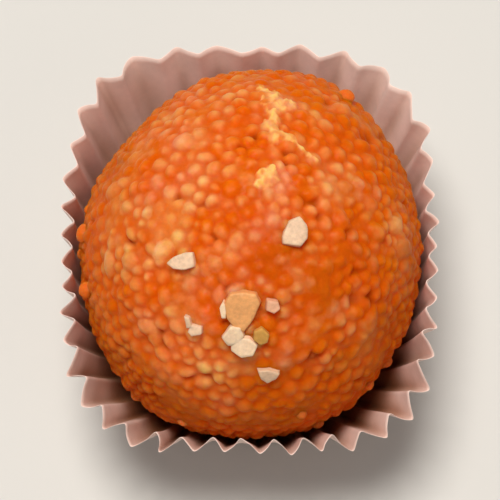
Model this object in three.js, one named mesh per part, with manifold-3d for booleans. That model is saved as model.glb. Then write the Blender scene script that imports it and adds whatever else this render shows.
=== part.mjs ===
// A motichoor ladoo: a ball of fine, syrup-soaked boondi pearls pressed together by hand, with a
// few chopped nuts pressed into its top, standing in the pleated paper case that it is served in.
// Millimetres, +Z up. The origin is the middle of the case's underside, +X is the viewer's right
// and +Y is away from the viewer, who looks down on the sweet at VIEW_ELEVATION.
import * as THREE from "three";
import { ConvexGeometry } from "three/addons/geometries/ConvexGeometry.js";
import { ConvexHull } from "three/addons/math/ConvexHull.js";
import { mergeVertices } from "three/addons/utils/BufferGeometryUtils.js";
import Module from "manifold-3d";

const wasm = await Module();
wasm.setup();

const VIEW_ELEVATION = THREE.MathUtils.degToRad(72);

// Paper, and the clearance between it and the ball.
const PAPER = 0.3;
const CLEARANCE = 0.3;

// The ball, measured over the tops of its pearls.
const BALL_WIDTH = 42.8; // left to right
const BALL_DEPTH = 46.2; // front to back
const BALL_HEIGHT = 43.0; // before its underside is pressed flat
const FLAT_PRESSED = 1.2; // what the flat underside takes off that height
const BALL_FORWARD = 0.5; // how far it stands in front of the case's middle
const BALL_BOTTOM = PAPER + CLEARANCE;
const BALL_MIDDLE = new THREE.Vector3(0, -BALL_FORWARD, BALL_BOTTOM + BALL_HEIGHT / 2 - FLAT_PRESSED);
const BALL_REACH = (BALL_WIDTH + BALL_DEPTH) / 4; // mean radius

// Broad swellings and dents that the hand left, placed by their angle round the outline that the
// viewer sees, anticlockwise from the right, and how far they lean towards the viewer (degrees).
const SWELLINGS = [
  { around: 62, lean: 0, rise: 0.8, spread: 20 },
  { around: 133, lean: 0, rise: -1.3, spread: 27 },
  { around: 232, lean: 5, rise: 0.8, spread: 22 },
  { around: 298, lean: 0, rise: 0.5, spread: 17 },
  { around: 20, lean: 45, rise: -0.3, spread: 22 },
  { around: 200, lean: 50, rise: 0.3, spread: 20 },
];

// The boondi pearls on the ball's surface.
const PEARL_COUNT = 1420;
const PEARL_SUNK_MOST = 0.4; // how far the deepest pearl's top lies under the ball's outline
const GROOVE_DEPTH = 0.9; // from the ball's outline to the joint of three pearls
const PEARL_PITCH = Math.sqrt((8 * Math.PI) / (Math.sqrt(3) * PEARL_COUNT)); // radians
const PUSH_ROUNDS = 9; // rounds of pushing neighbouring pearls apart
const PUSH_REACH = 1.3 * PEARL_PITCH; // pearls nearer than this push each other
const PUSH_SHARE = 0.4; // of the distance that they lack, in one round

// Chopped nuts, by where the viewer sees them on the ball: right and up of its middle.
const NUT_THICKNESS = 1.5;
const NUT_PROUD = 0.55; // how far a nut's face stands above the pearls' tops
const NUT_CORNERS = 7;
const NUT_FACE_SHARE = 0.85; // of the chip's width that is left on its face by its sloping sides
const NUTS = [
  { right: 5.7, up: 2.5, long: 4.1, wide: 3.7, turn: 75 },
  { right: -8.4, up: -1.1, long: 3.8, wide: 2.6, turn: 8 },
  { right: -0.9, up: -6.8, long: 5.3, wide: 4.7, turn: 80 },
  { right: 2.7, up: -6.5, long: 2.3, wide: 2.0, turn: 130 },
  { right: -6.9, up: -9.1, long: 2.9, wide: 2.1, turn: 125 },
  { right: -2.1, up: -10.1, long: 2.8, wide: 2.6, turn: 70 },
  { right: -0.9, up: -11.6, long: 2.9, wide: 2.4, turn: 145 },
  { right: 1.2, up: -10.2, long: 2.4, wide: 2.2, turn: 40 },
  { right: 2.1, up: -14.9, long: 3.1, wide: 1.9, turn: 5 },
];

// Single pearls that stand proud of the outline.
const PROUD_PEARL_RADIUS = 1.1;
const PROUD_PEARLS = [
  { right: -20.6, up: 2.4 },
  { right: -20.2, up: -4.6 },
  { right: 12.0, up: 19.6 },
];

// The case. Its rim is a square with round corners, squeezed in at the left and the right.
const PLEATS = 41;
const CASE_BASE_RADIUS = 17.8;
const CASE_SLANT = 24.5; // length of the paper from the base's edge to the rim
const RIM_WIDTH = 45.6; // over the tips of the pleats, left to right
const RIM_DEPTH = 52.2; // and front to back
const RIM_SQUARENESS = 3.9; // power of the superellipse
const WIDER_AT_BACK = 0.17; // share by which the pleats at the back are wider and in front narrower
const NARROWER_AT_SIDES = 0.09; // and by which those at the left and right are narrower
const PLEAT_DEPTH = 1.35; // mean, from tip to trough at the rim
const DEEPER_IN_CORNERS = 0.3;
const DEEPER_IN_FRONT = 0.2;
const PLEAT_DEPTH_POWER = 0.8; // how it dies out towards the base
const SCALLOP = [ // a pleat's corners, by place in its width and share of its depth
  { place: -0.26, sunk: 0.28 },
  { place: 0, sunk: 0 },
  { place: 0.26, sunk: 0.28 },
  { place: 0.5, sunk: 1 },
];
const WALL_LEVELS = [0, 0.12, 0.38, 0.7, 1]; // shares of the slant
const WALL_BULGE = 0.5; // how far the wall bows out at its middle
const TIP_UNEVEN = 0.3; // random spread of a tip's radius
const PITCH_UNEVEN = 0.16; // and of its place, in pleats

// A seeded random number from 0 to 1.
function seeded(seed) {
  let state = seed >>> 0;
  return () => {
    state = (state + 0x6d2b79f5) >>> 0;
    let t = state;
    t = Math.imul(t ^ (t >>> 15), t | 1);
    t ^= t + Math.imul(t ^ (t >>> 7), t | 61);
    return ((t ^ (t >>> 14)) >>> 0) / 4294967296;
  };
}

// A direction from the ball's middle, given in the viewer's axes: right, up and towards them.
function fromViewer(right, up, towards) {
  const sine = Math.sin(VIEW_ELEVATION);
  const cosine = Math.cos(VIEW_ELEVATION);
  return new THREE.Vector3(
    right,
    up * sine - towards * cosine,
    up * cosine + towards * sine,
  ).normalize();
}

const swellings = SWELLINGS.map(({ around, lean, rise, spread }) => {
  const angle = THREE.MathUtils.degToRad(around);
  const tilt = THREE.MathUtils.degToRad(lean);
  const out = Math.cos(tilt);
  const direction = fromViewer(Math.cos(angle) * out, Math.sin(angle) * out, Math.sin(tilt));
  return { direction, rise, spread: THREE.MathUtils.degToRad(spread) };
});

// Distance from the ball's middle to its outline in a direction.
function ballRadius(direction) {
  const across = direction.x / (BALL_WIDTH / 2);
  const away = direction.y / (BALL_DEPTH / 2);
  const above = direction.z / (BALL_HEIGHT / 2);
  let radius = 1 / Math.hypot(across, away, above);
  for (const swelling of swellings) {
    const angle = direction.angleTo(swelling.direction) / swelling.spread;
    radius += swelling.rise * Math.exp(-angle * angle);
  }
  return radius;
}

// The direction of the spot that the viewer sees so many millimetres right and up of the middle.
function seenAt(right, up) {
  let direction = new THREE.Vector3();
  let reach = BALL_REACH;
  for (let round = 0; round < 4; round++) {
    const u = right / reach;
    const v = up / reach;
    direction = fromViewer(u, v, Math.sqrt(Math.max(0, 1 - u * u - v * v)));
    reach = ballRadius(direction);
  }
  return direction;
}

// A point over the ball's outline, or under it where height is negative.
function onBall(direction, height) {
  const point = direction.clone().multiplyScalar(ballRadius(direction) + height);
  return point.add(BALL_MIDDLE);
}

// Horizontal distance from the case's axis to the ball at a height, in a direction round the axis.
function ballReachAt(azimuth, z) {
  const forward = -BALL_FORWARD * Math.sin(azimuth);
  const spot = new THREE.Vector3();
  let reach = BALL_REACH;
  for (let round = 0; round < 6; round++) {
    spot.set(reach * Math.cos(azimuth), reach * Math.sin(azimuth), z).sub(BALL_MIDDLE);
    const radius = ballRadius(spot.clone().normalize());
    const level = radius ** 2 - spot.z ** 2 - BALL_FORWARD ** 2 + forward ** 2;
    reach = forward + Math.sqrt(Math.max(0, level));
  }
  return reach;
}

// Directions spread over the sphere like packed pearls: random, then pushed apart.
function pearlDirections(random) {
  const pearls = [];
  for (let i = 0; i < PEARL_COUNT; i++) {
    const z = 1 - (2 * (i + 0.5)) / PEARL_COUNT;
    const azimuth = 2 * Math.PI * random();
    const reach = Math.sqrt(1 - z * z);
    pearls.push(new THREE.Vector3(reach * Math.cos(azimuth), reach * Math.sin(azimuth), z));
  }
  const push = new THREE.Vector3();
  for (let round = 0; round < PUSH_ROUNDS; round++) {
    const moves = pearls.map(() => new THREE.Vector3());
    for (let i = 0; i < PEARL_COUNT; i++) {
      for (let j = i + 1; j < PEARL_COUNT; j++) {
        push.subVectors(pearls[i], pearls[j]);
        const distance = push.length();
        if (distance > PUSH_REACH) continue;
        push.setLength(PUSH_SHARE * (PUSH_REACH - distance));
        moves[i].add(push);
        moves[j].sub(push);
      }
    }
    pearls.forEach((pearl, i) => {
      moves[i].clampLength(0, PEARL_PITCH / 2);
      pearl.add(moves[i]).normalize();
    });
  }
  return pearls;
}

// A closed mesh from corners and the triangles between them.
function meshOf(corners, triangles) {
  const geometry = new THREE.BufferGeometry();
  geometry.setFromPoints(corners);
  geometry.setIndex(triangles.flat());
  return geometry;
}

// The ball's skin. Each pearl is a low pyramid whose corners lie where it meets two others.
function pearledBall() {
  const random = seeded(11);
  const pearls = pearlDirections(random);
  const numbers = new Map(pearls.map((pearl, i) => [pearl, i]));
  const corners = pearls.map((pearl) => onBall(pearl, -PEARL_SUNK_MOST * random()));
  const jointLeftOf = new Map(); // for each way from a pearl to its neighbour
  for (const face of new ConvexHull().setFromPoints(pearls).faces) {
    const joint = new THREE.Vector3();
    let edge = face.edge;
    do {
      const from = numbers.get(edge.tail().point);
      const to = numbers.get(edge.head().point);
      jointLeftOf.set(from * PEARL_COUNT + to, corners.length);
      joint.add(edge.head().point);
      edge = edge.next;
    } while (edge !== face.edge);
    corners.push(onBall(joint.normalize(), -GROOVE_DEPTH));
  }
  const triangles = [];
  for (const [way, left] of jointLeftOf) {
    const from = Math.floor(way / PEARL_COUNT);
    const to = way % PEARL_COUNT;
    const right = jointLeftOf.get(to * PEARL_COUNT + from);
    triangles.push([from, right, left]);
  }
  for (const corner of corners) corner.z = Math.max(corner.z, BALL_BOTTOM);
  return meshOf(corners, triangles);
}

// A chopped nut: an uneven flat chip with sloping sides, its face up along +Z.
function nutChip({ long, wide }, random) {
  const points = [];
  for (let i = 0; i < NUT_CORNERS; i++) {
    const angle = (2 * Math.PI * (i + 0.5 * random())) / NUT_CORNERS;
    const reach = 0.88 + 0.24 * random();
    const x = (long / 2) * reach * Math.cos(angle);
    const y = (wide / 2) * reach * Math.sin(angle);
    points.push(new THREE.Vector3(x, y, -NUT_THICKNESS / 2));
    points.push(new THREE.Vector3(NUT_FACE_SHARE * x, NUT_FACE_SHARE * y, NUT_THICKNESS / 2));
  }
  return new ConvexGeometry(points);
}

// Stands a geometry on the ball where the viewer sees it, its +Z out along the ball's radius.
function pressedIn(geometry, { right, up, turn = 0 }, height) {
  const direction = seenAt(right, up);
  const across = new THREE.Vector3(1, 0, 0).addScaledVector(direction, -direction.x).normalize();
  const along = new THREE.Vector3().crossVectors(direction, across);
  const matrix = new THREE.Matrix4().makeBasis(across, along, direction);
  matrix.setPosition(onBall(direction, height));
  return geometry.rotateZ(THREE.MathUtils.degToRad(turn)).applyMatrix4(matrix);
}

function solidOf(geometry) {
  geometry.deleteAttribute("normal");
  geometry.deleteAttribute("uv");
  const merged = mergeVertices(geometry);
  return new wasm.Manifold(
    new wasm.Mesh({
      numProp: 3,
      vertProperties: merged.attributes.position.array,
      triVerts: new Uint32Array(merged.index.array),
    }),
  );
}

function geometryOf(solid) {
  const mesh = solid.getMesh();
  const geometry = new THREE.BufferGeometry();
  geometry.setAttribute("position", new THREE.BufferAttribute(mesh.vertProperties, 3));
  geometry.setIndex(new THREE.BufferAttribute(mesh.triVerts, 1));
  return geometry;
}

function ladooGeometry() {
  const random = seeded(23);
  let solid = solidOf(pearledBall());
  for (const nut of NUTS) {
    const chip = pressedIn(nutChip(nut, random), nut, NUT_PROUD - NUT_THICKNESS / 2);
    solid = solid.add(solidOf(chip));
  }
  for (const pearl of PROUD_PEARLS) {
    const ball = pressedIn(new THREE.IcosahedronGeometry(PROUD_PEARL_RADIUS), pearl, 0);
    solid = solid.add(solidOf(ball));
  }
  return geometryOf(solid);
}

// Distance from the axis to the tips of the pleats at the rim.
function rimRadius(azimuth) {
  const across = Math.abs(Math.cos(azimuth)) / (RIM_WIDTH / 2);
  const away = Math.abs(Math.sin(azimuth)) / (RIM_DEPTH / 2);
  return (across ** RIM_SQUARENESS + away ** RIM_SQUARENESS) ** (-1 / RIM_SQUARENESS);
}

// The direction round the case of a place counted in pleats.
function azimuthAt(place) {
  const even = (2 * Math.PI * place) / PLEATS;
  return even - WIDER_AT_BACK * Math.cos(even) - (NARROWER_AT_SIDES / 2) * Math.sin(2 * even);
}

function pleatDepth(azimuth) {
  const corner = DEEPER_IN_CORNERS * Math.cos(4 * azimuth);
  return PLEAT_DEPTH - corner - DEEPER_IN_FRONT * Math.sin(azimuth);
}

// The corners of the pleats round the case: each pleat has a broad round tip and a sharp trough.
function pleatCorners() {
  const random = seeded(43);
  const corners = [];
  for (let pleat = 0; pleat < PLEATS; pleat++) {
    const shift = PITCH_UNEVEN * (random() - 0.5);
    const uneven = TIP_UNEVEN * (2 * random() - 1);
    for (const { place, sunk } of SCALLOP) {
      const azimuth = azimuthAt(pleat + shift + place);
      corners.push({ azimuth, trough: sunk * pleatDepth(azimuth), spread: uneven * (1 - sunk) });
    }
  }
  return corners;
}

// One ring of the case's wall at a share of its slant, on its outer face or inset from it.
function wallRing(corners, share, inset) {
  return corners.map(({ azimuth, trough, spread }) => {
    const flare = rimRadius(azimuth) + spread - CASE_BASE_RADIUS;
    const height = share * Math.sqrt(CASE_SLANT ** 2 - (flare - trough) ** 2);
    const pleat = trough * share ** PLEAT_DEPTH_POWER;
    const bulge = WALL_BULGE * Math.sin(Math.PI * share);
    const free = CASE_BASE_RADIUS + flare * share - pleat + bulge;
    const clear = ballReachAt(azimuth, height) + CLEARANCE + PAPER;
    const radius = Math.max(free, clear) - inset;
    return new THREE.Vector3(
      radius * Math.cos(azimuth),
      radius * Math.sin(azimuth),
      Math.max(height, inset),
    );
  });
}

// The skin over a stack of rings, closed by a point at each end.
function skinOver(start, rings, end) {
  const count = rings[0].length;
  const corners = [start, ...rings.flat(), end];
  const last = corners.length - 1;
  const at = (ring, i) => 1 + ring * count + (i % count);
  const triangles = [];
  for (let i = 0; i < count; i++) {
    triangles.push([0, at(0, i + 1), at(0, i)]);
    for (let ring = 1; ring < rings.length; ring++) {
      triangles.push([at(ring - 1, i), at(ring - 1, i + 1), at(ring, i + 1)]);
      triangles.push([at(ring - 1, i), at(ring, i + 1), at(ring, i)]);
    }
    triangles.push([at(rings.length - 1, i), at(rings.length - 1, i + 1), last]);
  }
  return meshOf(corners, triangles);
}

function caseGeometry() {
  const corners = pleatCorners();
  const outside = WALL_LEVELS.map((share) => wallRing(corners, share, 0));
  const inside = WALL_LEVELS.toReversed().map((share) => wallRing(corners, share, PAPER));
  const under = new THREE.Vector3(0, 0, 0);
  const over = new THREE.Vector3(0, 0, PAPER);
  return skinOver(under, [...outside, ...inside], over);
}

function named(name, geometry, color, roughness) {
  const material = new THREE.MeshStandardMaterial({ color, roughness, metalness: 0 });
  const mesh = new THREE.Mesh(geometry, material);
  mesh.name = name;
  return mesh;
}

const sweet = new THREE.Group();
sweet.add(named("ladoo", ladooGeometry(), 0xdc6a2a, 0.45));
sweet.add(named("paper_case", caseGeometry(), 0xcdb4aa, 0.85));

export default sweet;
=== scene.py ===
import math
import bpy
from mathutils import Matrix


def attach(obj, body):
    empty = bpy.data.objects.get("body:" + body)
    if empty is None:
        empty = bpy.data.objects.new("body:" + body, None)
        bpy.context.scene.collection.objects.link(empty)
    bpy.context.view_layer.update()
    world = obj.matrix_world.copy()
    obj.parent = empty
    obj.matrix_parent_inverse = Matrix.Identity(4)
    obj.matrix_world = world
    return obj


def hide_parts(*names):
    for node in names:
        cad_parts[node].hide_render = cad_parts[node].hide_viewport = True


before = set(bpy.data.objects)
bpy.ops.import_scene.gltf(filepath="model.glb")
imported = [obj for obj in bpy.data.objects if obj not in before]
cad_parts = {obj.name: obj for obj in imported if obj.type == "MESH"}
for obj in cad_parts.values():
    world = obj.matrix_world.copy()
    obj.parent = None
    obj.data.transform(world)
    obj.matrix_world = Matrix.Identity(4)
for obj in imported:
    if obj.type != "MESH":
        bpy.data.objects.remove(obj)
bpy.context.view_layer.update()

# A motichoor ladoo in its pleated paper case. Shapes are worked out in millimetres in the frame of
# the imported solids: +X is the viewer's right, +Y is away from the viewer, +Z is up.
from types import SimpleNamespace

import bmesh
import bpy
import numpy as np
from mathutils import Matrix, Vector, noise

MM = 0.001
VIEW_ELEVATION = math.radians(72)

# The ball, over the tops of its pearls, as in the solids.
BALL_WIDTH = 42.8
BALL_DEPTH = 46.2
BALL_HEIGHT = 43.0
FLAT_PRESSED = 1.2
BALL_FORWARD = 0.5
BALL_BOTTOM = 0.6
BALL_MIDDLE = np.array([0.0, -BALL_FORWARD, BALL_BOTTOM + BALL_HEIGHT / 2 - FLAT_PRESSED])
BALL_REACH = (BALL_WIDTH + BALL_DEPTH) / 4
SPOT_ROUNDS = 4  # rounds that close in on where a line of sight meets the ball
REACH_ROUNDS = 6  # and on how far it reaches at a height
# Swellings and dents: angle round the outline seen, lean towards the viewer, rise, spread.
SWELLINGS = (
    (62, 0, 0.8, 20),
    (133, 0, -1.3, 27),
    (232, 5, 0.8, 22),
    (298, 0, 0.5, 17),
    (20, 45, -0.3, 22),
    (200, 50, 0.3, 20),
)

# The ball's skin, a fine mesh.
SKIN_SEED = 5
SKIN_FREQUENCY = 98  # triangles along an edge of the icosahedron that it starts from
SKIN_CROWDING = 0.78  # under 1, its triangles crowd towards the top
SKIN_CHUNK = 4000  # points worked out at a time

# The boondi pearls pressed into the skin. Heights are over the ball's outline.
PEARL_COUNT = 1790
PEARL_RADIUS = 1.0
PEARL_RADIUS_SPREAD = 0.2
PEARL_RADIUS_LIMITS = (0.5, 1.5)
PEARL_SKIRT = 1.2  # where a pearl's own surface ends, in radii
PEARL_DROP = 0.8  # how far it falls from its top to there, in radii
PEARL_DOME = 2.2  # the power by which it falls: over 2, its top is flatter than round
PEARL_STRETCH = 0.2  # how far its outline is from round
PEARL_BLEND = 11.0  # per millimetre: how sharply two pearls meet
PEARL_NEIGHBOURS = 7  # pearls that count at any one point
CROWN_TIGHTNESS = 3.2  # how fast the painted highlight on the middle of a pearl fades
TOP_HIGHEST = 0.08
TOP_UNEVEN = 0.21
LUMP_TOP = 0.3
PALLOR_SPREAD = 0.13
PALE_PEARLS = 0.1  # share of the pearls that are fried less
PALE_PEARLS_BY = 0.2
# Where the hand pressed the pearls, they are flatter and closer.
PRESSED_MOST = 0.75
PRESSED_FADE = (-0.1, 0.45)  # values of its noise between which pressing sets in
PRESSED_WHERE_ROSY = 0.5
PEARLS_UNDER = 0.3
GROOVES_OVER = -0.58
GROOVES_FILLED = 0.34
GAPS_FILLED = 0.12
LIMIT_BLEND = 12.0  # per millimetre: how sharply these limits cut in

# Noise is given in layers: size of the blotches, offset of the pattern and weight.
SWIRLS = ((1.5, (3.1, 17.7, 41.3), 1.0), (0.6, (5.9, 23.2, 57.1), 0.5))
SWIRLED_BY = 0.17
PRESSED_AREAS = ((5.5, 9.0, 1.0), (2.4, 5.0, 0.45))
RAGGED_EDGES = ((1.3, 61.0, 0.6), (0.5, 62.0, 0.36))
HAND_WAVES = ((5.4, 83.0, 0.4), (2.7, 84.0, 0.16))
HAND_WAVES_SUNK = 0.12
GRAIN = ((0.55, 23.0, 0.055), (0.3, 24.0, 0.03))
PALE_BLOTCHES = ((4.8, 31.0, 0.34), (2.6, 32.0, 0.4))
# Fine pale specks of painted glint over the skin.
PAINTED_GLINT_SPECKS = ((0.5, 92.0, 0.12), (1.0, 93.0, 0.16))
TONE_BLOTCHES = ((3.4, 55.0, 0.05),)
CUT_FACES = ((0.9, 4.0, 0.06), (0.35, 6.0, 0.036))

# Places are given as the viewer sees them: right and up of the ball's middle.
GAPS = (  # where the gaps between pearls are deeper, and darker with painted shade: right, up, radius
    (-4.4, 1.5, 0.9), (-14.4, 1.7, 1.0), (-2.5, -4.5, 0.8), (-3.9, -3.0, 0.7), (14.6, -5.5, 1.1),
    (14.4, 14.2, 1.2), (8.9, 19.2, 1.1), (4.6, 12.0, 0.8), (-9.0, 6.4, 0.9), (7.6, -12.4, 1.0),
    (-12.2, -18.0, 2.4), (-15.5, -12.0, 1.8), (4.6, 10.9, 0.8), (0.3, 14.2, 0.8), (-1.0, 12.5, 0.8),
)
GAP_DEPTH = 0.45
GAP_LEVELS = (-0.16, -0.5)  # heights between which gaps set in
SMALL_GAPS = 70  # the number of others, strewn all over
SMALL_GAP_SHARE = 0.6  # of the depth of those above
SMALL_GAP_RADII = (0.5, 1.2)
PATCHES = (  # broad patches that are paler, or more soaked where below 0: right, up, radius, paler by
    (-8.6, 16.5, 3.0, 0.34), (-8.4, 11.5, 2.8, 0.3), (-7.8, 9.1, 1.3, 0.6), (-13.5, 3.4, 3.2, 0.26),
    (-16.8, 0.0, 3.6, 0.3), (-10.5, 0.0, 2.6, 0.3), (-12.4, -9.0, 3.0, 0.26), (-7.0, -9.0, 2.4, 0.16),
    (-5.0, -14.8, 3.0, 0.28), (-3.0, -18.0, 2.4, 0.2), (17.4, 3.0, 2.6, 0.26), (3.0, 9.0, 2.0, 0.2),
    (13.5, -11.0, 3.4, 0.12), (6.8, 12.2, 1.9, 0.3), (-1.8, 18.8, 2.4, 0.12), (11.0, 18.6, 1.6, 0.3),
    (12.0, -1.0, 5.5, -0.12), (8.0, -14.0, 6.0, -0.1), (-2.5, 14.5, 2.6, -0.14),
    (-11.5, -17.0, 3.4, -0.14), (2.5, -19.8, 4.5, -0.16), (-3.4, 4.0, 2.6, -0.1), (1.6, -1.5, 3.4, -0.08),
    (2.6, 14.8, 2.0, 0.4), (2.6, 10.6, 1.8, 0.35), (5.6, 13.0, 1.6, 0.3), (3.6, 18.4, 2.2, 0.3),
    (-8.2, 1.5, 1.8, 1.0), (-11.5, 4.5, 3.0, 0.3), (-6.2, 8.0, 3.6, 0.28), (7.5, 9.0, 3.0, 0.4),
    (8.4, -3.4, 3.8, -0.42), (1.5, 7.4, 2.0, 0.4), (-7.0, -12.6, 4.6, 0.28), (-10.4, -7.6, 2.6, 0.3),
    (1.8, 1.0, 2.8, -0.36), (-16.5, 10.4, 3.2, -0.25), (1.5, -4.0, 1.5, 0.45), (2.6, -16.4, 3.0, -0.15),
)
PATCHES_BROKEN = 0.8  # how far noise breaks them up
PATCHES_BROKEN_SIZE = 1.8
LIT_AND_SHADED_PATCHES = (  # broad patches of painted light, or of painted shade where below 0: right, up, radius, lighter by
    (8.6, -3.0, 4.8, -0.17), (2.8, 0.0, 4.0, -0.12), (13.0, 0.5, 3.6, -0.1), (19.5, -1.5, 4.0, -0.12),
    (17.0, -7.5, 3.8, -0.11), (-19.6, -0.4, 3.8, -0.15), (-16.6, 10.4, 3.8, -0.2), (5.0, -10.4, 2.4, -0.06),
    (-7.4, -12.0, 5.2, 0.2), (-11.5, -1.5, 3.6, 0.07), (-13.6, -8.0, 2.4, 0.08),
)
ROSY = (  # where the syrup looks rosy: right, up, radius
    (2.0, -1.5, 4.2), (-5.0, -4.2, 3.0), (-12.0, 7.6, 2.6), (-8.5, -12.2, 2.4), (1.5, 3.5, 3.0),
)
# Streaks of crushed boondi: right, up and half width at each point.
CRUSHED = (
    ((1.2, 20.2, 0.5), (2.4, 18.8, 1.4), (3.8, 18.0, 1.2), (5.3, 18.0, 0.6)),
    ((2.6, 18.0, 1.3), (2.9, 16.4, 1.1), (2.5, 14.9, 1.5), (3.0, 13.7, 1.3)),
    ((3.4, 13.7, 0.8), (4.9, 13.6, 0.5), (6.6, 12.3, 0.3), (8.0, 10.9, 0.15)),
    ((2.7, 10.2, 0.5), (2.3, 9.2, 1.5), (1.5, 8.4, 1.3), (0.6, 8.0, 0.5)),
)
CRUSHED_COVER = 0.75  # how far it hides the pearls' shapes under it
CRUSHED_FADE = (0.0, 0.6)  # how deep in a ragged streak it sets in
CRUSHED_THINNED = 0.08
CRUSHED_EDGE = (0, 0.12)  # how deep in the streak itself
FLAKES_OVER = 0.02  # the ball's outline, where they are lowest
FLAKES = ((1.2, 71.0, 0.5),)
FLAKES_ROUGH = ((0.6, 72.0, 0.4),)
FLAKES_BLOTCHES = ((0.8, 73.0, 1.2),)
LUMPS = (  # larger pearls in the skin: right, up, radius, paler by
    (17.6, 3.4, 1.5, 0.3), (18.6, 0.6, 1.6, 0.3), (15.6, 2.4, 1.2, 0.2), (-16.6, 7.6, 1.4, 0.15),
    (-17.2, -1.2, 1.6, 0.3), (-14.6, -1.0, 1.4, 0.3), (14.6, -8.4, 1.6, 0.15), (11.4, 17.6, 1.4, 0.2),
    (-10.4, 0.3, 1.2, 0.5), (-12.4, -9.0, 1.4, 0.25), (11.0, 4.0, 1.3, 0.1), (-8.0, 13.4, 1.4, 0.2),
)

# Whole pearls on the ball: the solids' proud ones, sunk a little deeper, and others strewn low down.
WHOLE_PEARL_STRETCH = 0.15
WHOLE_PEARL_LUMPS = 0.5  # their size, in its radii
LUMPS_VARY = 7  # how far apart in the noise two pearls take them from
PROUD_PEARLS = ((-20.6, 2.4), (-20.2, -4.6), (12.0, 19.6))
PROUD_PEARL_RADIUS = 1.045
PROUD_PEARL_HEIGHT = -0.4
PROUD_PEARL_LUMPY = 0.12
PROUD_PEARL_PALER = 0.12
LOOSE_SEED = 8
LOOSE_COUNT = 23
LOOSE_LEVELS = (-0.3, 0.15)  # over the ball's middle, in its radii
LOOSE_RADII = (0.6, 1.0)
LOOSE_SUNK = (0.8, 1.0)  # in their own radii
LOOSE_LUMPY = 0.06
LOOSE_PALER = (0.02, 0.3)

# Chopped nuts, within a millimetre of the solids': kind, rise of the face to one side, that side's
# angle in degrees and the outline that the viewer sees, right and up of the ball's middle.
NUT_SEED = 12
NUT_PROUD = 0.42
NUT_DEPTH = 0.95  # of its base under the ball's outline
NUT_FACE_SHARE = 0.93  # of its outline's width
NUT_BASE_SHARE = 1.04
NUT_UNEVEN = 0.05
NUT_CUTS = 5  # in each edge, so that its faces can be roughened
NUT_SOFTENED = 0.4
NUT_SHADES = ((1.1, 3.0, 0.12),)
NUTS = (
    ("cream", 0.25, 40, (
        (5.8, 4.4), (6.8, 3.2), (6.8, 1.7), (6.0, 0.7), (3.8, 1.0), (3.7, 1.9), (4.5, 3.8))),
    ("cream", 0.2, 200, (
        (-7.6, 0.1), (-6.6, 0.1), (-6.4, -1.6), (-7.6, -2.0), (-9.0, -1.9), (-9.8, -1.2), (-9.1, -0.5))),
    ("tan", 0.25, 100, (
        (-2.4, -4.7), (-0.9, -4.4), (0.8, -4.7), (1.3, -5.8), (0.4, -7.9), (-0.7, -9.4), (-1.7, -9.0),
        (-2.8, -7.7), (-3.1, -6.0))),
    ("ivory", 0.1, 180, ((-3.6, -6.4), (-3.1, -5.5), (-2.7, -6.2), (-2.8, -7.7), (-3.3, -7.6))),
    ("pink", 0.1, 0, ((2.0, -5.4), (3.3, -5.6), (3.6, -6.5), (2.8, -7.1), (1.8, -6.7))),
    ("cream", 0.15, 90, ((-7.7, -7.3), (-7.1, -7.5), (-6.7, -8.8), (-7.4, -8.8))),
    ("cream", 0.15, 300, ((-6.9, -8.3), (-5.6, -8.6), (-5.6, -9.5), (-6.8, -9.8), (-7.3, -9.2))),
    ("ivory", 0.25, 150, (
        (-2.3, -8.5), (-1.1, -8.6), (-0.6, -9.7), (-1.2, -10.7), (-2.6, -10.9), (-3.4, -9.9))),
    ("ivory", 0.3, 300, (
        (-1.4, -9.8), (-0.0, -9.9), (1.0, -10.8), (0.4, -12.1), (-1.0, -12.3), (-2.3, -11.4),
        (-2.2, -10.3))),
    ("green", 0.1, 60, ((0.4, -9.1), (1.4, -8.7), (2.3, -9.5), (2.1, -10.5), (1.2, -10.8), (0.4, -10.2))),
    ("dull", 0.15, 90, (
        (0.8, -13.8), (2.2, -13.7), (3.6, -14.1), (3.1, -14.8), (2.0, -15.4), (1.2, -14.8))),
)

# The paper case as in the solids, with real paper.
PAPER = 0.07
PLEATS = 41
CASE_BASE_RADIUS = 17.8
CASE_SLANT = 24.5
RIM_WIDTH = 45.6
RIM_DEPTH = 52.2
RIM_SQUARENESS = 3.9
WIDER_AT_BACK = 0.17
NARROWER_AT_SIDES = 0.09
PLEAT_DEPTH = 1.35
DEEPER_IN_CORNERS = 0.3
DEEPER_IN_FRONT = 0.2
PLEAT_DEPTH_POWER = 0.8
WALL_BULGE = 0.5
TIP_UNEVEN = 0.3
PITCH_UNEVEN = 0.16
PLEAT_SEED = 43
# What the real paper adds to the solids.
CREASED = 0.9  # at 1 the pleats' folds are sharp, and at 0 the pleats are waves
FOLD_SEED = 3
FOLDS_DEEPER = (0.88, 1.14)  # the least and the most, as shares of a pleat's depth
FOLDS_SKEWED = 0.07
CRUMPLES = ((9.0, 13.0, 0.25),)
FINE_CRUMPLES = ((0.8, 2.0, 0.05),)
FINE_CRUMPLES_FLAT = 0.12  # they run up and down the wall
CRUMPLES_REACH = 25  # the radius at which their sizes are true
RIM_UNEVEN = ((2.5, 29.0, 0.12),)
LIP = 0.3  # how far the pleats' tips turn out at the rim
LIP_FROM = 0.8  # the share of the slant where that starts
PAPER_CLEAR = 0.38  # of the ball's outline
CLEAR_BLEND = 4.0  # per millimetre: how sharply the paper bends round the ball
PLEAT_STEPS = 18
WALL_STEPS = 26
WALL_STEPS_POWER = 1.1  # over 1, they crowd towards the base
BASE_RINGS = (0.3, 0.62, 0.86, 0.96)  # shares of the base's radius

# Light and camera, in metres.
FLOOR_HALF = 1.5
FLOOR_LEVEL = -0.0001
FLOOR_DARKER = (0.66, 0.655, 0.645, 1)
FLOOR_LIGHTER = (0.69, 0.685, 0.675, 1)
ROOM_LIGHT = (1.0, 0.97, 0.93, 1)
ROOM_STRENGTH = 0.22
LIGHTS_AIM = (0, 0, 0.02)
CAMERA_TARGET = (0, 0, 0.0205)
CAMERA_DISTANCE = 0.32
CAMERA_LENS = 186  # millimetres, on a sensor 36 wide
CAMERA_SENSOR = 36


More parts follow.
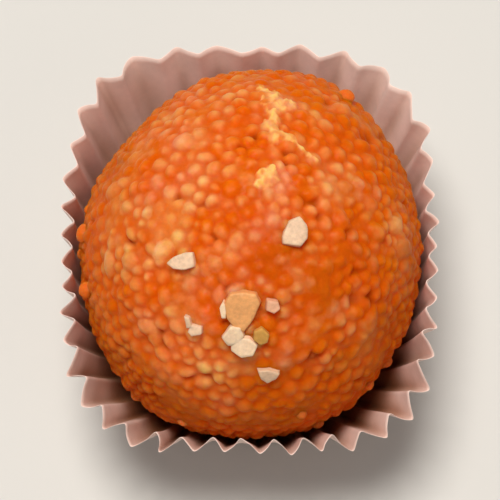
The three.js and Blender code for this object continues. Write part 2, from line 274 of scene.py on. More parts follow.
def unit(vectors):
    return vectors / np.linalg.norm(vectors, axis=-1, keepdims=True)


def from_viewer(right, up, towards):
    """Directions from the ball's middle, given in the viewer's axes."""
    sine, cosine = math.sin(VIEW_ELEVATION), math.cos(VIEW_ELEVATION)
    right, up, towards = np.broadcast_arrays(right, up, towards)
    return unit(np.stack([right, up * sine - towards * cosine, up * cosine + towards * sine], -1))


def seen_at(right, up, height=0.0):
    """The direction in which the viewer sees a spot so far right and up of the ball's middle."""
    right, up = np.asarray(right, float), np.asarray(up, float)
    reach = BALL_REACH
    for _ in range(SPOT_ROUNDS):
        u, v = right / reach, up / reach
        directions = from_viewer(u, v, np.sqrt(np.maximum(0, 1 - u * u - v * v)))
        reach = ball_radius(directions) + height
    return directions


def to_viewer(directions):
    """How far right and up of the ball's middle directions are seen, and how far towards."""
    sine, cosine = math.sin(VIEW_ELEVATION), math.cos(VIEW_ELEVATION)
    x, y, z = directions[..., 0], directions[..., 1], directions[..., 2]
    reach = ball_radius(directions)
    return x * reach, (y * sine + z * cosine) * reach, z * sine - y * cosine


def ball_radius(directions):
    """Distance from the ball's middle to its outline."""
    half = np.array([BALL_WIDTH, BALL_DEPTH, BALL_HEIGHT]) / 2
    radius = 1 / np.linalg.norm(directions / half, axis=-1)
    for around, lean, rise, spread in SWELLINGS:
        angle, tilt = math.radians(around), math.radians(lean)
        out = math.cos(tilt)
        middle = from_viewer(math.cos(angle) * out, math.sin(angle) * out, math.sin(tilt))
        away = np.degrees(np.arccos(np.clip(directions @ middle, -1, 1))) / spread
        radius = radius + rise * np.exp(-away * away)
    return radius


def on_ball(directions, heights):
    reach = ball_radius(directions) + heights
    return directions * reach[..., None] + BALL_MIDDLE


def ball_reach_at(azimuths, z):
    """Horizontal distance from the case's axis to the ball at a height."""
    forward = -BALL_FORWARD * np.sin(azimuths)
    reach = np.full(np.broadcast(azimuths, z).shape, BALL_REACH)
    for _ in range(REACH_ROUNDS):
        spot = np.stack([reach * np.cos(azimuths), reach * np.sin(azimuths), z + 0 * reach], -1)
        spot = spot - BALL_MIDDLE
        level = ball_radius(unit(spot)) ** 2 - spot[..., 2] ** 2 - BALL_FORWARD**2 + forward**2
        reach = forward + np.sqrt(np.maximum(0, level))
    return reach


def mottle(points, size, offset=0.0):
    """Smooth noise from -1 to 1 over points, with blotches of a size."""
    places = (points / size + offset).tolist()
    return np.array([noise.noise(place) for place in places])


def layered(points, layers):
    return sum(weight * mottle(points, size, offset) for size, offset, weight in layers)


def ease(low, high, values):
    """0 at low, 1 at high and smooth between."""
    t = np.clip((values - low) / (high - low), 0, 1)
    return t * t * (3 - 2 * t)


def soft_least(values, limits, blend):
    """The smaller of two heights, rounded where they cross."""
    return -np.logaddexp(-blend * values, -blend * limits) / blend


def soft_most(values, limits, blend):
    """The larger of two heights, rounded where they cross."""
    return np.logaddexp(blend * values, blend * limits) / blend


def linear(red, green, blue):
    """A colour from 0 to 255 as a screen shows it, in linear light."""
    c = np.array([red, green, blue]) / 255
    return np.where(c <= 0.04045, c / 12.92, ((c + 0.055) / 1.055) ** 2.4)


def mixed(tints, tint, share):
    """Colours moved by a share towards another."""
    return tints + np.asarray(share)[..., None] * (tint - tints)


def changed(tints, share, change):
    """Colours with a share of a change in red, green and blue."""
    return tints * (1 + share[:, None] * change)


def piece(name, points, faces, material, tints):
    """A mesh piece from points in millimetres, with a colour at each point."""
    mesh = bpy.data.meshes.new(name)
    mesh.from_pydata((np.asarray(points) * MM).tolist(), [], [list(face) for face in faces])
    mesh.polygons.foreach_set("use_smooth", [True] * len(mesh.polygons))
    layer = mesh.color_attributes.new("tint", "FLOAT_COLOR", "POINT")
    layer.data.foreach_set("color", np.c_[tints, np.ones(len(tints))].ravel())
    mesh.materials.append(material)
    made = bpy.data.objects.new(name, mesh)
    bpy.context.scene.collection.objects.link(made)
    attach(made, "root")
    return made


# Materials


class Shader:
    """A new material with its Principled shader, and short ways to add nodes to it."""

    def __init__(self, name):
        self.material = bpy.data.materials.new(name)
        self.material.use_nodes = True
        self.tree = self.material.node_tree
        self.principled = self.tree.nodes["Principled BSDF"]

    def node(self, kind, **values):
        made = self.tree.nodes.new(kind)
        for key, value in values.items():
            setattr(made, key, value)
        return made

    def link(self, source, target):
        self.tree.links.new(source, target)

    def set(self, **values):
        for key, value in values.items():
            self.principled.inputs[key.replace("_", " ")].default_value = value

    def noise(self, scale, detail=3.0, roughness=0.6):
        """Noise over the piece's own coordinates, in blotches per metre."""
        made = self.node("ShaderNodeTexNoise")
        made.inputs["Scale"].default_value = scale
        made.inputs["Detail"].default_value = detail
        made.inputs["Roughness"].default_value = roughness
        self.link(self.node("ShaderNodeTexCoord").outputs["Object"], made.inputs["Vector"])
        return made.outputs["Fac"]

    def ranged(self, source, low, high, from_low=0.35, from_high=0.65):
        made = self.node("ShaderNodeMapRange")
        made.inputs["From Min"].default_value = from_low
        made.inputs["From Max"].default_value = from_high
        made.inputs["To Min"].default_value = low
        made.inputs["To Max"].default_value = high
        self.link(source, made.inputs["Value"])
        return made.outputs["Result"]

    def scaled(self, colour, factor):
        """A colour made lighter or darker by a factor."""
        made = self.node("ShaderNodeVectorMath", operation="SCALE")
        self.link(colour, made.inputs["Vector"])
        self.link(factor, made.inputs["Scale"])
        return made.outputs["Vector"]

    def bumped(self, heights, distance, strength=1.0, before=None):
        made = self.node("ShaderNodeBump")
        made.inputs["Strength"].default_value = strength
        made.inputs["Distance"].default_value = distance
        self.link(heights, made.inputs["Height"])
        if before:
            self.link(before, made.inputs["Normal"])
        return made.outputs["Normal"]

    def tint(self):
        return self.node("ShaderNodeAttribute", attribute_name="tint").outputs["Color"]


def boondi_material(name, depth):
    """Fried gram-flour pearls soaked in syrup, orange and moist, that light enters to a depth."""
    shader = Shader(name)
    mottled = shader.ranged(shader.noise(1500, detail=4), low=0.95, high=1.05)
    shader.link(shader.scaled(shader.tint(), mottled), shader.principled.inputs["Base Color"])
    moist = shader.ranged(shader.noise(900), low=0.3, high=0.55)
    shader.link(moist, shader.principled.inputs["Roughness"])
    fine = shader.bumped(shader.noise(4200, roughness=0.65), distance=0.00006, strength=0.7)
    coarse = shader.bumped(shader.noise(1400, detail=2), distance=0.00012, strength=0.6, before=fine)
    shader.link(coarse, shader.principled.inputs["Normal"])
    shader.set(Subsurface_Weight=1.0, Subsurface_Radius=(1.0, 0.25, 0.06), Subsurface_Scale=depth)
    shader.set(Specular_IOR_Level=0.03, Coat_Weight=0.07, Coat_Roughness=0.13, Coat_IOR=1.3)
    return shader.material


def nut_material():
    """Cut faces of cashew, almond and pistachio: pale, dull and finely grained."""
    shader = Shader("nut")
    mottled = shader.ranged(shader.noise(2200, detail=4), low=0.9, high=1.08)
    shader.link(shader.scaled(shader.tint(), mottled), shader.principled.inputs["Base Color"])
    grain = shader.bumped(shader.noise(3000, detail=4), distance=0.0001, strength=0.7)
    shader.link(grain, shader.principled.inputs["Normal"])
    shader.set(Roughness=0.55, Subsurface_Weight=0.2, Subsurface_Scale=0.0006)
    shader.set(Subsurface_Radius=(1.0, 0.7, 0.4), Specular_IOR_Level=0.4)
    return shader.material


def paper_material():
    """Thin greaseproof paper: greyish white, matt, cloudy where the fibres lie thicker."""
    shader = Shader("case_paper")
    cloud = shader.ranged(shader.noise(260, detail=5, roughness=0.65), low=0.93, high=1.05)
    shader.link(shader.scaled(shader.tint(), cloud), shader.principled.inputs["Base Color"])
    fibres = shader.bumped(shader.noise(2600, detail=5, roughness=0.7), distance=0.00005, strength=0.5)
    shader.link(fibres, shader.principled.inputs["Normal"])
    shader.link(shader.ranged(shader.noise(700), low=0.55, high=0.75), shader.principled.inputs["Roughness"])
    shader.set(Specular_IOR_Level=0.3)
    return shader.material


def floor_material():
    shader = Shader("floor")
    shade = shader.node("ShaderNodeMixRGB")
    shade.inputs["Color1"].default_value = FLOOR_DARKER
    shade.inputs["Color2"].default_value = FLOOR_LIGHTER
    shader.link(shader.noise(6, detail=2), shade.inputs["Fac"])
    shader.link(shade.outputs["Color"], shader.principled.inputs["Base Color"])
    shader.set(Roughness=0.75)
    return shader.material


# The ball


def geodesic(frequency):
    """Directions and triangles of an icosahedron whose faces are each split evenly."""
    made = bmesh.new()
    bmesh.ops.create_icosphere(made, subdivisions=1, radius=1)
    corners = [[np.array(v.co) for v in face.verts] for face in made.faces]
    made.free()
    places, triangles = [], []
    row = [(i, j) for i in range(frequency + 1) for j in range(frequency + 1 - i)]
    number = {ij: n for n, ij in enumerate(row)}
    local = []
    for i, j in row:
        if i + j < frequency:
            local.append((number[i, j], number[i + 1, j], number[i, j + 1]))
        if i + j < frequency - 1:
            local.append((number[i + 1, j], number[i + 1, j + 1], number[i, j + 1]))
    steps = np.array(row) / frequency
    for a, b, c in corners:
        triangles.append(np.array(local) + len(places) * len(row))
        places.append(a + steps[:, :1] * (b - a) + steps[:, 1:] * (c - a))
    points = unit(np.concatenate(places))
    _, first, merged = np.unique(np.round(points, 6), axis=0, return_index=True, return_inverse=True)
    return points[first], merged.reshape(-1)[np.concatenate(triangles)]


def crowded_up(directions, share):
    """Directions moved towards the top by a map that keeps small shapes, so more lie there."""
    side = np.hypot(directions[:, 0], directions[:, 1])
    polar = 2 * np.arctan(share * np.tan(np.arctan2(side, directions[:, 2]) / 2))
    azimuth = np.arctan2(directions[:, 1], directions[:, 0])
    return np.stack([np.sin(polar) * np.cos(azimuth), np.sin(polar) * np.sin(azimuth), np.cos(polar)], -1)


def packed(radii, random, rounds=40, share=0.3):
    """Directions of pearls of given radii, pushed apart until they pack the sphere."""
    spots = unit(random.normal(size=(len(radii), 3)))
    wanted = (radii[:, None] + radii[None, :]) / BALL_REACH
    for _ in range(rounds):
        apart = np.sqrt(np.maximum(2 - 2 * spots @ spots.T, 1e-9))
        lack = np.clip(wanted - apart, 0, None) / apart
        np.fill_diagonal(lack, 0)
        spots = unit(spots + share * (spots * lack.sum(1, keepdims=True) - lack @ spots))
    return spots


def near_path(right, up, path):
    """How deep points lie in a streak: 1 on its middle line, 0 at its half width and beyond."""
    best = np.zeros(len(right))
    for (x0, y0, w0), (x1, y1, w1) in zip(path, path[1:]):
        along = ((right - x0) * (x1 - x0) + (up - y0) * (y1 - y0)) / ((x1 - x0) ** 2 + (y1 - y0) ** 2)
        along = np.clip(along, 0, 1)
        away = np.hypot(right - x0 - along * (x1 - x0), up - y0 - along * (y1 - y0))
        best = np.maximum(best, 1 - away / (w0 + along * (w1 - w0)))
    return best


TINTS = {
    "soaked": linear(217, 101, 6),
    "pale": linear(225, 161, 104),
    "crushed": linear(246, 188, 116),
    "shaded_groove": linear(218, 86, 2),
    "shaded_gap": linear(160, 44, 0),
}
# Changes of a colour's red, green and blue, as shares.
ROSIER = np.array((0, -0.12, 0.25))
MORE_GOLDEN = np.array((0.0, 0.05, -0.16))
# Size and offset of the noise that strews them, and the values between which it does.
ROSY_AREAS = (5.0, 47.0)
GOLDEN_AREAS = (4.4, 48.0)
AREAS_FADE = (0.0, 0.5)
PATCHES_GOLDEN = 0.3
# A pearl's paleness, from 0 for soaked to 1 for pale, and the painted highlight that its crown adds.
PALENESS = (0.17, 0.84)  # at 0, and for each 1 of what its place makes of it
CROWN_PAINTED_HIGHLIGHT = (0.24, 0.28)
CROWN_FADE = (0.2, 1.0)  # how near the crown that painted highlight comes on
CROWN_PATCHY = 0.8  # the share of that which comes on, before noise moves it
CROWN_PATCHES = ((1.3, 91.0, 1.3),)
CROWN_PATCHY_LIMITS = (0.05, 2)
PALENESS_LIMIT = 1.2
# Painted light pales the skin towards the left, and painted shade deepens its orange towards the right.
LIT_PALER_AT_LEFT = 0.05
LEFT_BETWEEN = (4, -8)  # how far right of the middle that painted light comes on
SHADED_AT_RIGHT = 0.12
RIGHT_BETWEEN = (2, 12)
SOAKED_AND_SHADED_BETWEEN = (40.0, 24.0)  # the heights over which the ball gets more soaked, and darker with painted shade, going down
SOAKED_AND_SHADED_LOW_DOWN = 0.85
PAINTED_SHADE_LOW_DOWN = 0.17
PATCHES_KEPT = 0.8  # how far pale patches stay so low down
PATCH_SURE = 2.5  # one over the paleness at which a patch counts in full for that
ROSY_LOST_LOW_DOWN = 0.8
GROOVE_LEVELS = (-0.1, -0.5)  # heights between which a groove gets its painted shade
GROOVE_LESS_PRESSED = 0.1  # how much higher a groove counts where the skin is pressed
GROOVE_SHADE_SHARE = 0.7
GAP_SHADE_SHARE = 0.65
FLAKES_FADE = 0.03  # per millimetre going up: how much less pale crushed boondi is
FLAKES_PALE = 0.72  # and how pale it is at this far up:
FLAKES_PALE_AT = 12
FLAKES_PALE_LIMITS = (0.12, 1)


def boondi_tint(paler):
    return mixed(TINTS["soaked"], TINTS["pale"], paler)


def away_from(directions, spot):
    """How far points on the ball are from a spot on it, in millimetres."""
    return np.sqrt(np.maximum(2 - 2 * directions @ spot, 0)) * BALL_REACH


def spots_near(directions, right, up, radius, fall=1.4):
    """1 at a spot the viewer sees, falling to 0 at about its radius."""
    return np.exp(-fall * (away_from(directions, seen_at(right, up)) / radius) ** 3)


def strongest(directions, spots):
    return np.max([spots_near(directions, *spot) for spot in spots], axis=0)


def surface_pearls(random):
    """The pearls in the skin: direction, radius, top, paleness, long way and stretch."""
    radii = random.normal(PEARL_RADIUS, PEARL_RADIUS_SPREAD, PEARL_COUNT)
    radii = np.clip(radii, *PEARL_RADIUS_LIMITS)
    spots = packed(radii, random)
    tops = TOP_HIGHEST - TOP_UNEVEN * np.abs(random.normal(size=PEARL_COUNT))
    pallor = PALLOR_SPREAD * random.normal(size=PEARL_COUNT)
    pallor = pallor + PALE_PEARLS_BY * (random.uniform(size=PEARL_COUNT) < PALE_PEARLS)
    for right, up, radius, change in LUMPS:
        middle = seen_at(right, up)
        nearest = np.argmax(spots @ middle)
        spots[nearest], radii[nearest], tops[nearest], pallor[nearest] = middle, radius, LUMP_TOP, change
    long_way = unit(np.cross(spots, random.normal(size=(PEARL_COUNT, 3))))
    stretch = PEARL_STRETCH * random.uniform(0, 1, PEARL_COUNT)
    return spots, radii, tops, pallor, long_way, stretch


def swirled(at):
    """Directions pushed a little out of true, so that no pearl is an exact ellipse."""
    swirl = sum(
        weight * np.stack([mottle(at, size, offset) for offset in offsets], -1)
        for size, offsets, weight in SWIRLS
    )
    return unit(at + SWIRLED_BY * swirl)


def pearl_relief(directions, pearls):
    """The skin's height, the paleness of its pearls and how near each point is to a pearl's crown."""
    spots, radii, tops, pallor, long_way, stretch = pearls
    heights, paler, crowns = np.empty((3, len(directions)))
    skirts = PEARL_SKIRT * radii
    for start in range(0, len(directions), SKIN_CHUNK):
        part = slice(start, start + SKIN_CHUNK)
        apart = 2 - 2 * directions[part] @ spots.T - (skirts / BALL_REACH) ** 2
        near = np.argpartition(apart, PEARL_NEIGHBOURS, axis=1)[:, :PEARL_NEIGHBOURS]
        offset = (directions[part][:, None] - spots[near]) * BALL_REACH
        along = (offset * long_way[near]).sum(-1)
        across2 = (offset**2).sum(-1) - along**2
        away = np.sqrt(across2 * (1 + stretch[near]) ** 2 + along**2 * (1 - stretch[near]) ** 2)
        away = away / skirts[near]
        rise = np.exp(PEARL_BLEND * (tops[near] - PEARL_DROP * radii[near] * away**PEARL_DOME))
        heights[part] = np.log(rise.sum(1)) / PEARL_BLEND
        share = rise**2 / (rise**2).sum(1)[:, None]
        paler[part] = (share * pallor[near]).sum(1)
        crowns[part] = (share * np.exp(-CROWN_TIGHTNESS * away**2)).sum(1)
    return heights, paler, crowns


def skin_shape(directions, random):
    """The skin's points, with what its colours need to know at each of them."""
    skin = SimpleNamespace(directions=directions, at=directions * BALL_REACH)
    at = skin.at
    heights, skin.paler, skin.crowns = pearl_relief(swirled(at), surface_pearls(random))
    skin.right, skin.up, towards = to_viewer(directions)

    skin.rosy = strongest(directions, ROSY)
    pressed = PRESSED_MOST * ease(*PRESSED_FADE, layered(at, PRESSED_AREAS))
    skin.pressed = np.maximum(pressed, PRESSED_WHERE_ROSY * skin.rosy)
    heights = soft_least(heights, PEARLS_UNDER * (1 - skin.pressed), LIMIT_BLEND)
    skin.relief = soft_most(heights, GROOVES_OVER + GROOVES_FILLED * skin.pressed, LIMIT_BLEND)

    gaps = strongest(directions, GAPS)
    for spot in unit(random.normal(size=(SMALL_GAPS, 3))):
        away = away_from(directions, spot) / random.uniform(*SMALL_GAP_RADII)
        gaps = np.maximum(gaps, SMALL_GAP_SHARE * np.exp(-(away**4)))
    skin.gaps = gaps * ease(*GAP_LEVELS, skin.relief + GAPS_FILLED * skin.pressed)
    heights = skin.relief - GAP_DEPTH * skin.gaps

    streak = np.max([near_path(skin.right, skin.up, path) for path in CRUSHED], axis=0)
    ragged = streak + layered(at, RAGGED_EDGES) - CRUSHED_THINNED
    skin.crushed = ease(*CRUSHED_FADE, ragged) * (towards > 0) * ease(*CRUSHED_EDGE, streak)
    flakes = FLAKES_OVER + np.abs(layered(at, FLAKES)) + layered(at, FLAKES_ROUGH)
    heights = heights + CRUSHED_COVER * skin.crushed * (flakes - heights)
    heights = heights + layered(at, HAND_WAVES) - HAND_WAVES_SUNK + layered(at, GRAIN)

    skin.points = on_ball(directions, heights)
    return skin


def skin_tints(skin):
    """The skin's colours: soaked low down, painted shade there and in grooves and gaps, painted highlights
    on crowns, paler in patches.
    """
    at, directions = skin.at, skin.directions
    patched = np.zeros(len(at))
    for right, up, radius, change in PATCHES:
        broken = 1 + PATCHES_BROKEN * mottle(at, PATCHES_BROKEN_SIZE, right)
        patched = patched + change * spots_near(directions, right, up, radius) * broken
    paler = skin.paler + patched + layered(at, PALE_BLOTCHES)
    # Painted light at the left, painted shade at the right.
    paler = paler + LIT_PALER_AT_LEFT * ease(*LEFT_BETWEEN, skin.right)
    paler = paler - SHADED_AT_RIGHT * ease(*RIGHT_BETWEEN, skin.right)
    # Painted highlight: the crowns of the pearls are made paler.
    crown_highlight = CROWN_PATCHY + layered(at, CROWN_PATCHES)
    crown_highlight = ease(*CROWN_FADE, skin.crowns) * np.clip(crown_highlight, *CROWN_PATCHY_LIMITS)
    crown_highlight_strength = CROWN_PAINTED_HIGHLIGHT[0] + CROWN_PAINTED_HIGHLIGHT[1] * paler
    # Fine pale specks of painted glint are added as well.
    paler = PALENESS[0] + PALENESS[1] * paler + crown_highlight * crown_highlight_strength + layered(at, PAINTED_GLINT_SPECKS)

    patched = np.clip(PATCH_SURE * patched, 0, 1)
    # Low down the skin is more soaked, and darker with painted shade.
    soaked_and_shaded = ease(*SOAKED_AND_SHADED_BETWEEN, skin.points[:, 2]) * (1 - PATCHES_KEPT * patched)
    tints = boondi_tint(np.clip(paler, 0, PALENESS_LIMIT) * (1 - SOAKED_AND_SHADED_LOW_DOWN * soaked_and_shaded))
    rosy = np.maximum(skin.rosy, ease(*AREAS_FADE, mottle(at, *ROSY_AREAS)))
    rosy = rosy * (1 - ROSY_LOST_LOW_DOWN * soaked_and_shaded)
    tints = changed(tints, rosy, ROSIER)
    golden = np.maximum(ease(*AREAS_FADE, mottle(at, *GOLDEN_AREAS)), PATCHES_GOLDEN * patched)
    tints = changed(tints, golden, MORE_GOLDEN)
    # Broad patches of painted light and painted shade.
    lit_and_shaded = sum(change * spots_near(directions, *spot) for *spot, change in LIT_AND_SHADED_PATCHES)
    tints = changed(tints, layered(at, TONE_BLOTCHES) - PAINTED_SHADE_LOW_DOWN * soaked_and_shaded + lit_and_shaded, 1)

    # Painted shade deepens the orange in the grooves.
    shaded_groove = ease(*GROOVE_LEVELS, skin.relief + GROOVE_LESS_PRESSED * skin.pressed) * (1 - skin.crushed)
    tints = mixed(tints, TINTS["shaded_groove"], GROOVE_SHADE_SHARE * shaded_groove)
    # Painted shade darkens the deeper gaps.
    tints = mixed(tints, TINTS["shaded_gap"], GAP_SHADE_SHARE * skin.gaps * (1 - skin.crushed))
    pale = FLAKES_PALE - FLAKES_FADE * (skin.up - FLAKES_PALE_AT) + layered(at, FLAKES_BLOTCHES)
    return mixed(tints, TINTS["crushed"], skin.crushed * np.clip(pale, *FLAKES_PALE_LIMITS))


def ball_skin():
    """Points, triangles and colours of the pearled surface."""
    directions, triangles = geodesic(SKIN_FREQUENCY)
    directions = crowded_up(directions, SKIN_CROWDING)
    skin = skin_shape(directions, np.random.default_rng(SKIN_SEED))
    tints = skin_tints(skin)
    points = skin.points
    points[:, 2] = np.maximum(points[:, 2], BALL_BOTTOM)
    return points, triangles, tints


# Small things on the ball


def icosphere(subdivisions):
    made = bmesh.new()
    bmesh.ops.create_icosphere(made, subdivisions=subdivisions, radius=1)
    points = np.array([v.co for v in made.verts])
    faces = np.array([[v.index for v in face.verts] for face in made.faces])
    made.free()
    return points, faces


def joined(parts):
    """One mesh from several: points, faces and colours."""
    points, faces, tints, count = [], [], [], 0
    for part_points, part_faces, part_tints in parts:
        points.append(part_points)
        faces.extend((np.array(face) + count).tolist() for face in part_faces)
        tints.append(np.broadcast_to(part_tints, part_points.shape))
        count += len(part_points)
    return np.concatenate(points), faces, np.concatenate(tints)


def pearl(shape, direction, radius, height, random, lumpy):
    """A pearl, not quite round, whose middle is at a height over the ball's outline."""
    stretch = 1 + random.uniform(-WHOLE_PEARL_STRETCH, WHOLE_PEARL_STRETCH, 3)
    axis = Vector(unit(random.normal(size=3)))
    turned = np.array(Matrix.Rotation(random.uniform(0, 6.28), 3, axis))
    lumps = 1 + lumpy * mottle(shape + LUMPS_VARY * direction, WHOLE_PEARL_LUMPS)
    return (shape * stretch * lumps[:, None]) @ turned * radius + on_ball(direction, np.array(height))


def loose_pearls():
    """Whole pearls that stand a little proud of the ball."""
    random = np.random.default_rng(LOOSE_SEED)
    shape, faces = icosphere(3)
    parts = []
    for right, up in PROUD_PEARLS:
        place = (seen_at(right, up), PROUD_PEARL_RADIUS, PROUD_PEARL_HEIGHT)
        points = pearl(shape, *place, random, PROUD_PEARL_LUMPY)
        parts.append((points, faces, boondi_tint(PROUD_PEARL_PALER)))
    lowest, highest = LOOSE_LEVELS
    while len(parts) < len(PROUD_PEARLS) + LOOSE_COUNT:
        direction = unit(random.normal(size=3))
        if not lowest < direction[2] < highest:
            continue
        radius = random.uniform(*LOOSE_RADII)
        height = -radius * random.uniform(*LOOSE_SUNK)
        points = pearl(shape, direction, radius, height, random, LOOSE_LUMPY)
        parts.append((points, faces, boondi_tint(random.uniform(*LOOSE_PALER))))
    return joined(parts)


NUT_TINTS = {
    "cream": linear(229, 194, 163),
    "ivory": linear(242, 210, 176),
    "dull": linear(224, 188, 156),
    "tan": linear(232, 166, 104),
    "pink": linear(228, 172, 138),
    "green": linear(204, 152, 74),
}


def chip_form(corners):
    """A chopped nut: the hull of its corners, split fine for roughening, with its edges softened."""
    made = bmesh.new()
    for corner in corners:
        made.verts.new(corner)
    bmesh.ops.convex_hull(made, input=made.verts)
    bmesh.ops.subdivide_edges(made, edges=made.edges, cuts=NUT_CUTS, use_grid_fill=True)
    bmesh.ops.triangulate(made, faces=made.faces)
    axes = {"use_axis_x": True, "use_axis_y": True, "use_axis_z": True}
    bmesh.ops.smooth_vert(made, verts=made.verts, factor=NUT_SOFTENED, **axes)
    made.normal_update()
    points = np.array([v.co for v in made.verts])
    out = np.array([v.normal for v in made.verts])
    faces = [[v.index for v in face.verts] for face in made.faces]
    made.free()
    return points, out, faces


def nut_chip(outline, rise, side, random):
    """A nut pressed into the ball, its outline given as the viewer sees it."""
    outline = np.array(outline)
    middle = outline.mean(0)
    away = outline - middle
    reach = np.linalg.norm(away, axis=1).max()
    up_there = away @ (math.cos(side), math.sin(side)) / reach
    heights = NUT_PROUD + rise * up_there + NUT_UNEVEN * random.normal(size=len(outline))
    face = on_ball(seen_at(*(middle + NUT_FACE_SHARE * away).T, heights), heights)
    depths = np.full(len(outline), -NUT_DEPTH)
    base = on_ball(seen_at(*(middle + NUT_BASE_SHARE * away).T), depths)
    points, out, faces = chip_form(np.concatenate([face, base]))
    return points + out * layered(points, CUT_FACES)[:, None], faces


def nut_chips():
    random = np.random.default_rng(NUT_SEED)
    parts = []
    for kind, rise, side, outline in NUTS:
        points, faces = nut_chip(outline, rise, math.radians(side), random)
        shade = 1 + layered(points, NUT_SHADES)
        parts.append((points, faces, NUT_TINTS[kind] * shade[:, None]))
    return joined(parts)


# The paper case


def rim_radius(azimuths):
    across = np.abs(np.cos(azimuths)) / (RIM_WIDTH / 2)
    away = np.abs(np.sin(azimuths)) / (RIM_DEPTH / 2)
    return (across**RIM_SQUARENESS + away**RIM_SQUARENESS) ** (-1 / RIM_SQUARENESS)


def azimuth_at(place):
    even = 2 * np.pi * place / PLEATS
    return even - WIDER_AT_BACK * np.cos(even) - NARROWER_AT_SIDES / 2 * np.sin(2 * even)


def draws(seed):
    """The numbers from 0 to 1 that the solids were drawn with."""
    mask = 0xFFFFFFFF
    state = seed
    while True:
        state = (state + 0x6D2B79F5) & mask
        t = state
        t = ((t ^ (t >> 15)) * (t | 1)) & mask
        t ^= (t + (((t ^ (t >> 7)) * (t | 61)) & mask)) & mask
        yield ((t ^ (t >> 14)) & mask) / 2**32


def pleat_samples():
    """Round the case, for each sample: azimuth, how far it is from its pleat's tip to the trough,
    the tip's unevenness, and the share of the pleat's depth."""
    draw = draws(PLEAT_SEED)
    drawn = [(PITCH_UNEVEN * (next(draw) - 0.5), TIP_UNEVEN * (2 * next(draw) - 1)) for _ in range(PLEATS)]
    shift, uneven = np.array(drawn).T
    random = np.random.default_rng(FOLD_SEED)
    deep = random.uniform(*FOLDS_DEEPER, PLEATS)
    skew = random.uniform(-FOLDS_SKEWED, FOLDS_SKEWED, PLEATS)
    place = np.arange(PLEATS * PLEAT_STEPS) / PLEAT_STEPS
    phase = place - np.floor(place)
    this = np.floor(place).astype(int)
    following = (this + 1) % PLEATS
    tip = np.where(phase < 0.5, this, following)
    turn = ease(0.5, 1.0, phase)
    moved = place + shift[this] * (1 - turn) + shift[following] * turn
    moved = moved + skew[this] * np.sin(2 * np.pi * phase) ** 2
    sunk = 0.5 - np.arcsin(CREASED * np.cos(2 * np.pi * phase)) / (2 * math.asin(CREASED))
    return azimuth_at(moved), sunk, uneven[tip] * (1 - sunk), sunk * deep[this]


def wall_rings(inset):
    """The case's wall, ring by ring from its base to its rim, on one face of the paper."""
    azimuth, sunk, spread, deep = pleat_samples()
    depth = PLEAT_DEPTH - DEEPER_IN_CORNERS * np.cos(4 * azimuth) - DEEPER_IN_FRONT * np.sin(azimuth)
    flare = rim_radius(azimuth) + spread - CASE_BASE_RADIUS
    around = np.stack([np.cos(azimuth), np.sin(azimuth)], -1)
    rings = []
    for share in np.linspace(0, 1, WALL_STEPS + 1) ** WALL_STEPS_POWER:
        height = share * np.sqrt(CASE_SLANT**2 - (flare - sunk * depth) ** 2)
        pleat = deep * depth * share**PLEAT_DEPTH_POWER
        free = CASE_BASE_RADIUS + flare * share - pleat + WALL_BULGE * math.sin(math.pi * share)
        spots = np.c_[around * CRUMPLES_REACH, height]
        crumpled = layered(spots, CRUMPLES) + layered(spots * (1, 1, FINE_CRUMPLES_FLAT), FINE_CRUMPLES)
        free = free + share * crumpled + LIP * (1 - sunk) * ease(LIP_FROM, 1, share)
        clear = ball_reach_at(azimuth, height) + PAPER_CLEAR
        radius = soft_most(free, clear, CLEAR_BLEND) - inset
        z = height + share * layered(spots * (1, 1, 0), RIM_UNEVEN)
        rings.append(np.c_[around * radius[:, None], np.maximum(z, inset)])
    return rings


PAPER_WHITE = linear(250, 228, 220)
PAPER_DULL = linear(230, 205, 195)
PAPER_OILY_SHADED = linear(186, 128, 86)
FOLD_SHADE = np.array((-0.35, -0.44, -0.5))
PAPER_CLOUDS = ((5.0, 3.0, 0.5),)
OILY_SHADED_EDGE = ((6.0, 8.0, 4.0),)
OILY_SHADED_BETWEEN = (21.5, 8.5)  # the heights over which the syrup has soaked in and painted shade darkens the paper, going down
OILY_SHADED_OUTSIDE = 0.3
OILY_SHADED_INSIDE = 0.95
# Painted light: towards the back the paper is whiter, less oily and less shaded.
LIT_LESS_OILY_AT_BACK = 0.45
LIT_WHITER_AT_BACK = 0.4
LESS_SHADED_AT_BACK = 0.3
BACK_BETWEEN = (-5.0, 18.0)  # how far back that painted light comes on
FOLDS_OUTSIDE = 0.3
FOLDS_TOP = CASE_SLANT - 1
FOLDS_FADE = (0.0, 6.0)  # how far below that they darken


def paper_tints(points, folds, within):
    """The paper's colours: cloudy, oily and darker with painted shade low down, painted shade in its folds,
    painted light at the back.
    """
    # Painted light towards the back.
    lit_at_back = ease(*BACK_BETWEEN, points[:, 1])
    cloudy = 0.5 + layered(points, PAPER_CLOUDS)
    cloudy = cloudy + LIT_WHITER_AT_BACK * lit_at_back * (1 - cloudy)
    # Oily low down and inside the case, and darker there with painted shade too.
    level = points[:, 2] + layered(points, OILY_SHADED_EDGE)
    oily_and_shaded = ease(*OILY_SHADED_BETWEEN, level) * np.where(within, OILY_SHADED_INSIDE, OILY_SHADED_OUTSIDE)
    oily_and_shaded = oily_and_shaded * (1 - LIT_LESS_OILY_AT_BACK * lit_at_back)
    # Painted shade in the folds.
    below_rim = ease(*FOLDS_FADE, FOLDS_TOP - points[:, 2])
    shaded = np.where(within, (1 - folds) ** 2, FOLDS_OUTSIDE * folds) * below_rim
    shaded = shaded * (1 - LESS_SHADED_AT_BACK * lit_at_back)
    tints = mixed(mixed(PAPER_DULL, PAPER_WHITE, cloudy), PAPER_OILY_SHADED, oily_and_shaded)
    return changed(tints, shaded, FOLD_SHADE)


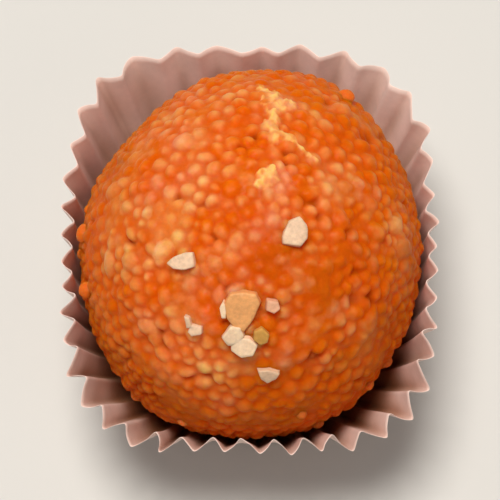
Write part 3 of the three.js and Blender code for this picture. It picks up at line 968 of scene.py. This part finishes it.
def stack_faces(count, rings):
    """Faces over a stack of rings of points, closed by a point at each end."""
    here = np.arange(count)
    pairs = list(zip(here, (here + 1) % count))
    faces = [(0, 1 + b, 1 + a) for a, b in pairs]
    for ring in range(1, rings):
        low, high = 1 + (ring - 1) * count, 1 + ring * count
        faces += [(low + a, low + b, high + b, high + a) for a, b in pairs]
    top = 1 + (rings - 1) * count
    return faces + [(top + a, top + b, top + count) for a, b in pairs]


def paper_case():
    """Points, faces and colours of the paper, and which faces are its cut edge."""
    outside, inside = wall_rings(0.0), wall_rings(PAPER)
    under = [outside[0] * (share, share, 1) for share in BASE_RINGS]
    over = [inside[0] * (share, share, 1) for share in BASE_RINGS]
    rings = under + outside + inside[::-1] + over[::-1]
    points = np.concatenate([[(0, 0, 0)], *rings, [(0, 0, PAPER)]])
    count = len(rings[0])
    half = len(under + outside) * count
    cut_edge = range(half, half + count)
    sunk = pleat_samples()[1]
    flat = [np.ones(count)] * len(BASE_RINGS)
    folds = np.concatenate([[1], *flat, *[sunk] * len(outside + inside), *flat, [1]])
    within = np.arange(len(points)) > half
    return points, stack_faces(count, len(rings)), paper_tints(points, folds, within), cut_edge


# Building, light and camera


def area_light(name, place, size, power, colour):
    data = bpy.data.lights.new(name, "AREA")
    data.shape = "DISK"
    data.size = size
    data.energy = power
    data.color = colour
    lamp = bpy.data.objects.new(name, data)
    lamp.location = place
    lamp.rotation_euler = (Vector(LIGHTS_AIM) - Vector(place)).to_track_quat("-Z", "Y").to_euler()
    lamp.visible_camera = False
    bpy.context.scene.collection.objects.link(lamp)


def stage():
    signs = ((-1, -1), (1, -1), (1, 1), (-1, 1))
    corners = [(x * FLOOR_HALF, y * FLOOR_HALF, FLOOR_LEVEL) for x, y in signs]
    mesh = bpy.data.meshes.new("floor")
    mesh.from_pydata(corners, [], [(0, 1, 2, 3)])
    mesh.materials.append(floor_material())
    floor = bpy.data.objects.new("floor", mesh)
    bpy.context.scene.collection.objects.link(floor)
    world = bpy.data.worlds.new("studio")
    world.use_nodes = True
    room = world.node_tree.nodes["Background"].inputs
    room["Color"].default_value = ROOM_LIGHT
    room["Strength"].default_value = ROOM_STRENGTH
    bpy.context.scene.world = world
    area_light("key", place=(-0.09, 0.1, 0.84), size=0.34, power=6.9, colour=(1.0, 0.95, 0.87))
    area_light("fill", place=(0.5, -0.4, 0.55), size=0.6, power=0.5, colour=(1.0, 0.9, 0.78))
    bpy.context.scene.view_settings.view_transform = "Standard"


def camera():
    data = bpy.data.cameras.new("camera")
    data.lens = CAMERA_LENS
    data.sensor_width = CAMERA_SENSOR
    data.dof.use_dof = False
    made = bpy.data.objects.new("camera", data)
    back = Vector((0, -math.cos(VIEW_ELEVATION), math.sin(VIEW_ELEVATION)))
    made.location = Vector(CAMERA_TARGET) + CAMERA_DISTANCE * back
    made.rotation_euler = (-back).to_track_quat("-Z", "Y").to_euler()
    bpy.context.scene.collection.objects.link(made)
    bpy.context.scene.camera = made


points, faces, tints = ball_skin()
ball = piece("ladoo_ball", points, faces, boondi_material("boondi", depth=0.0035), tints)
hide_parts("ladoo")
points, faces, tints = loose_pearls()
piece("loose_pearls", points, faces, boondi_material("loose_boondi", depth=0.001), tints)
points, faces, tints = nut_chips()
piece("nut_chips", points, faces, nut_material(), tints)
points, faces, tints, cut_edge = paper_case()
case = piece("pleated_case", points, faces, paper_material(), tints)
for number in cut_edge:
    case.data.polygons[number].use_smooth = False
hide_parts("paper_case")
stage()
camera()
